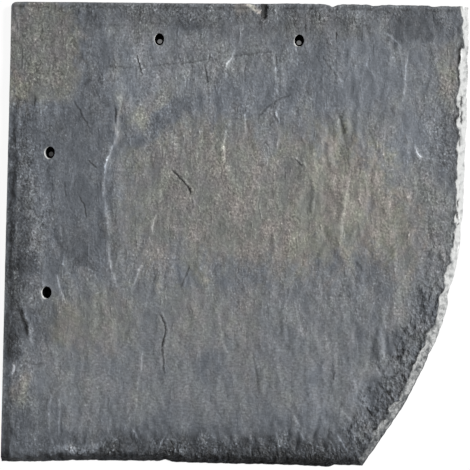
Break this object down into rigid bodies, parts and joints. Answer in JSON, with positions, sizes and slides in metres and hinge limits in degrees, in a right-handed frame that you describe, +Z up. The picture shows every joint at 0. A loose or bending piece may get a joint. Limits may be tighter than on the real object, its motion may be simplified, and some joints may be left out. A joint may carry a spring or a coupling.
{
  "type": "roof shingle",
  "caption": "Square slate-look roof shingle with one arched corner, a hand-dressed edge round the arch and nail holes sunk in oval pockets along its covered head and side.",
  "frame": {"origin": "middle of the plate's box, on its flat underside", "axes": "+Z up out of the riven face, +Y towards the head edge, +X towards the dressed side with the arch"},
  "size_m": [0.3, 0.3028, 0.007],
  "materials": {
    "slate": "riven, semi-matt, grey with warm brown patches"
  },
  "bodies": {
    "root": {"shingle": "slate"}
  },
  "joints": []
}
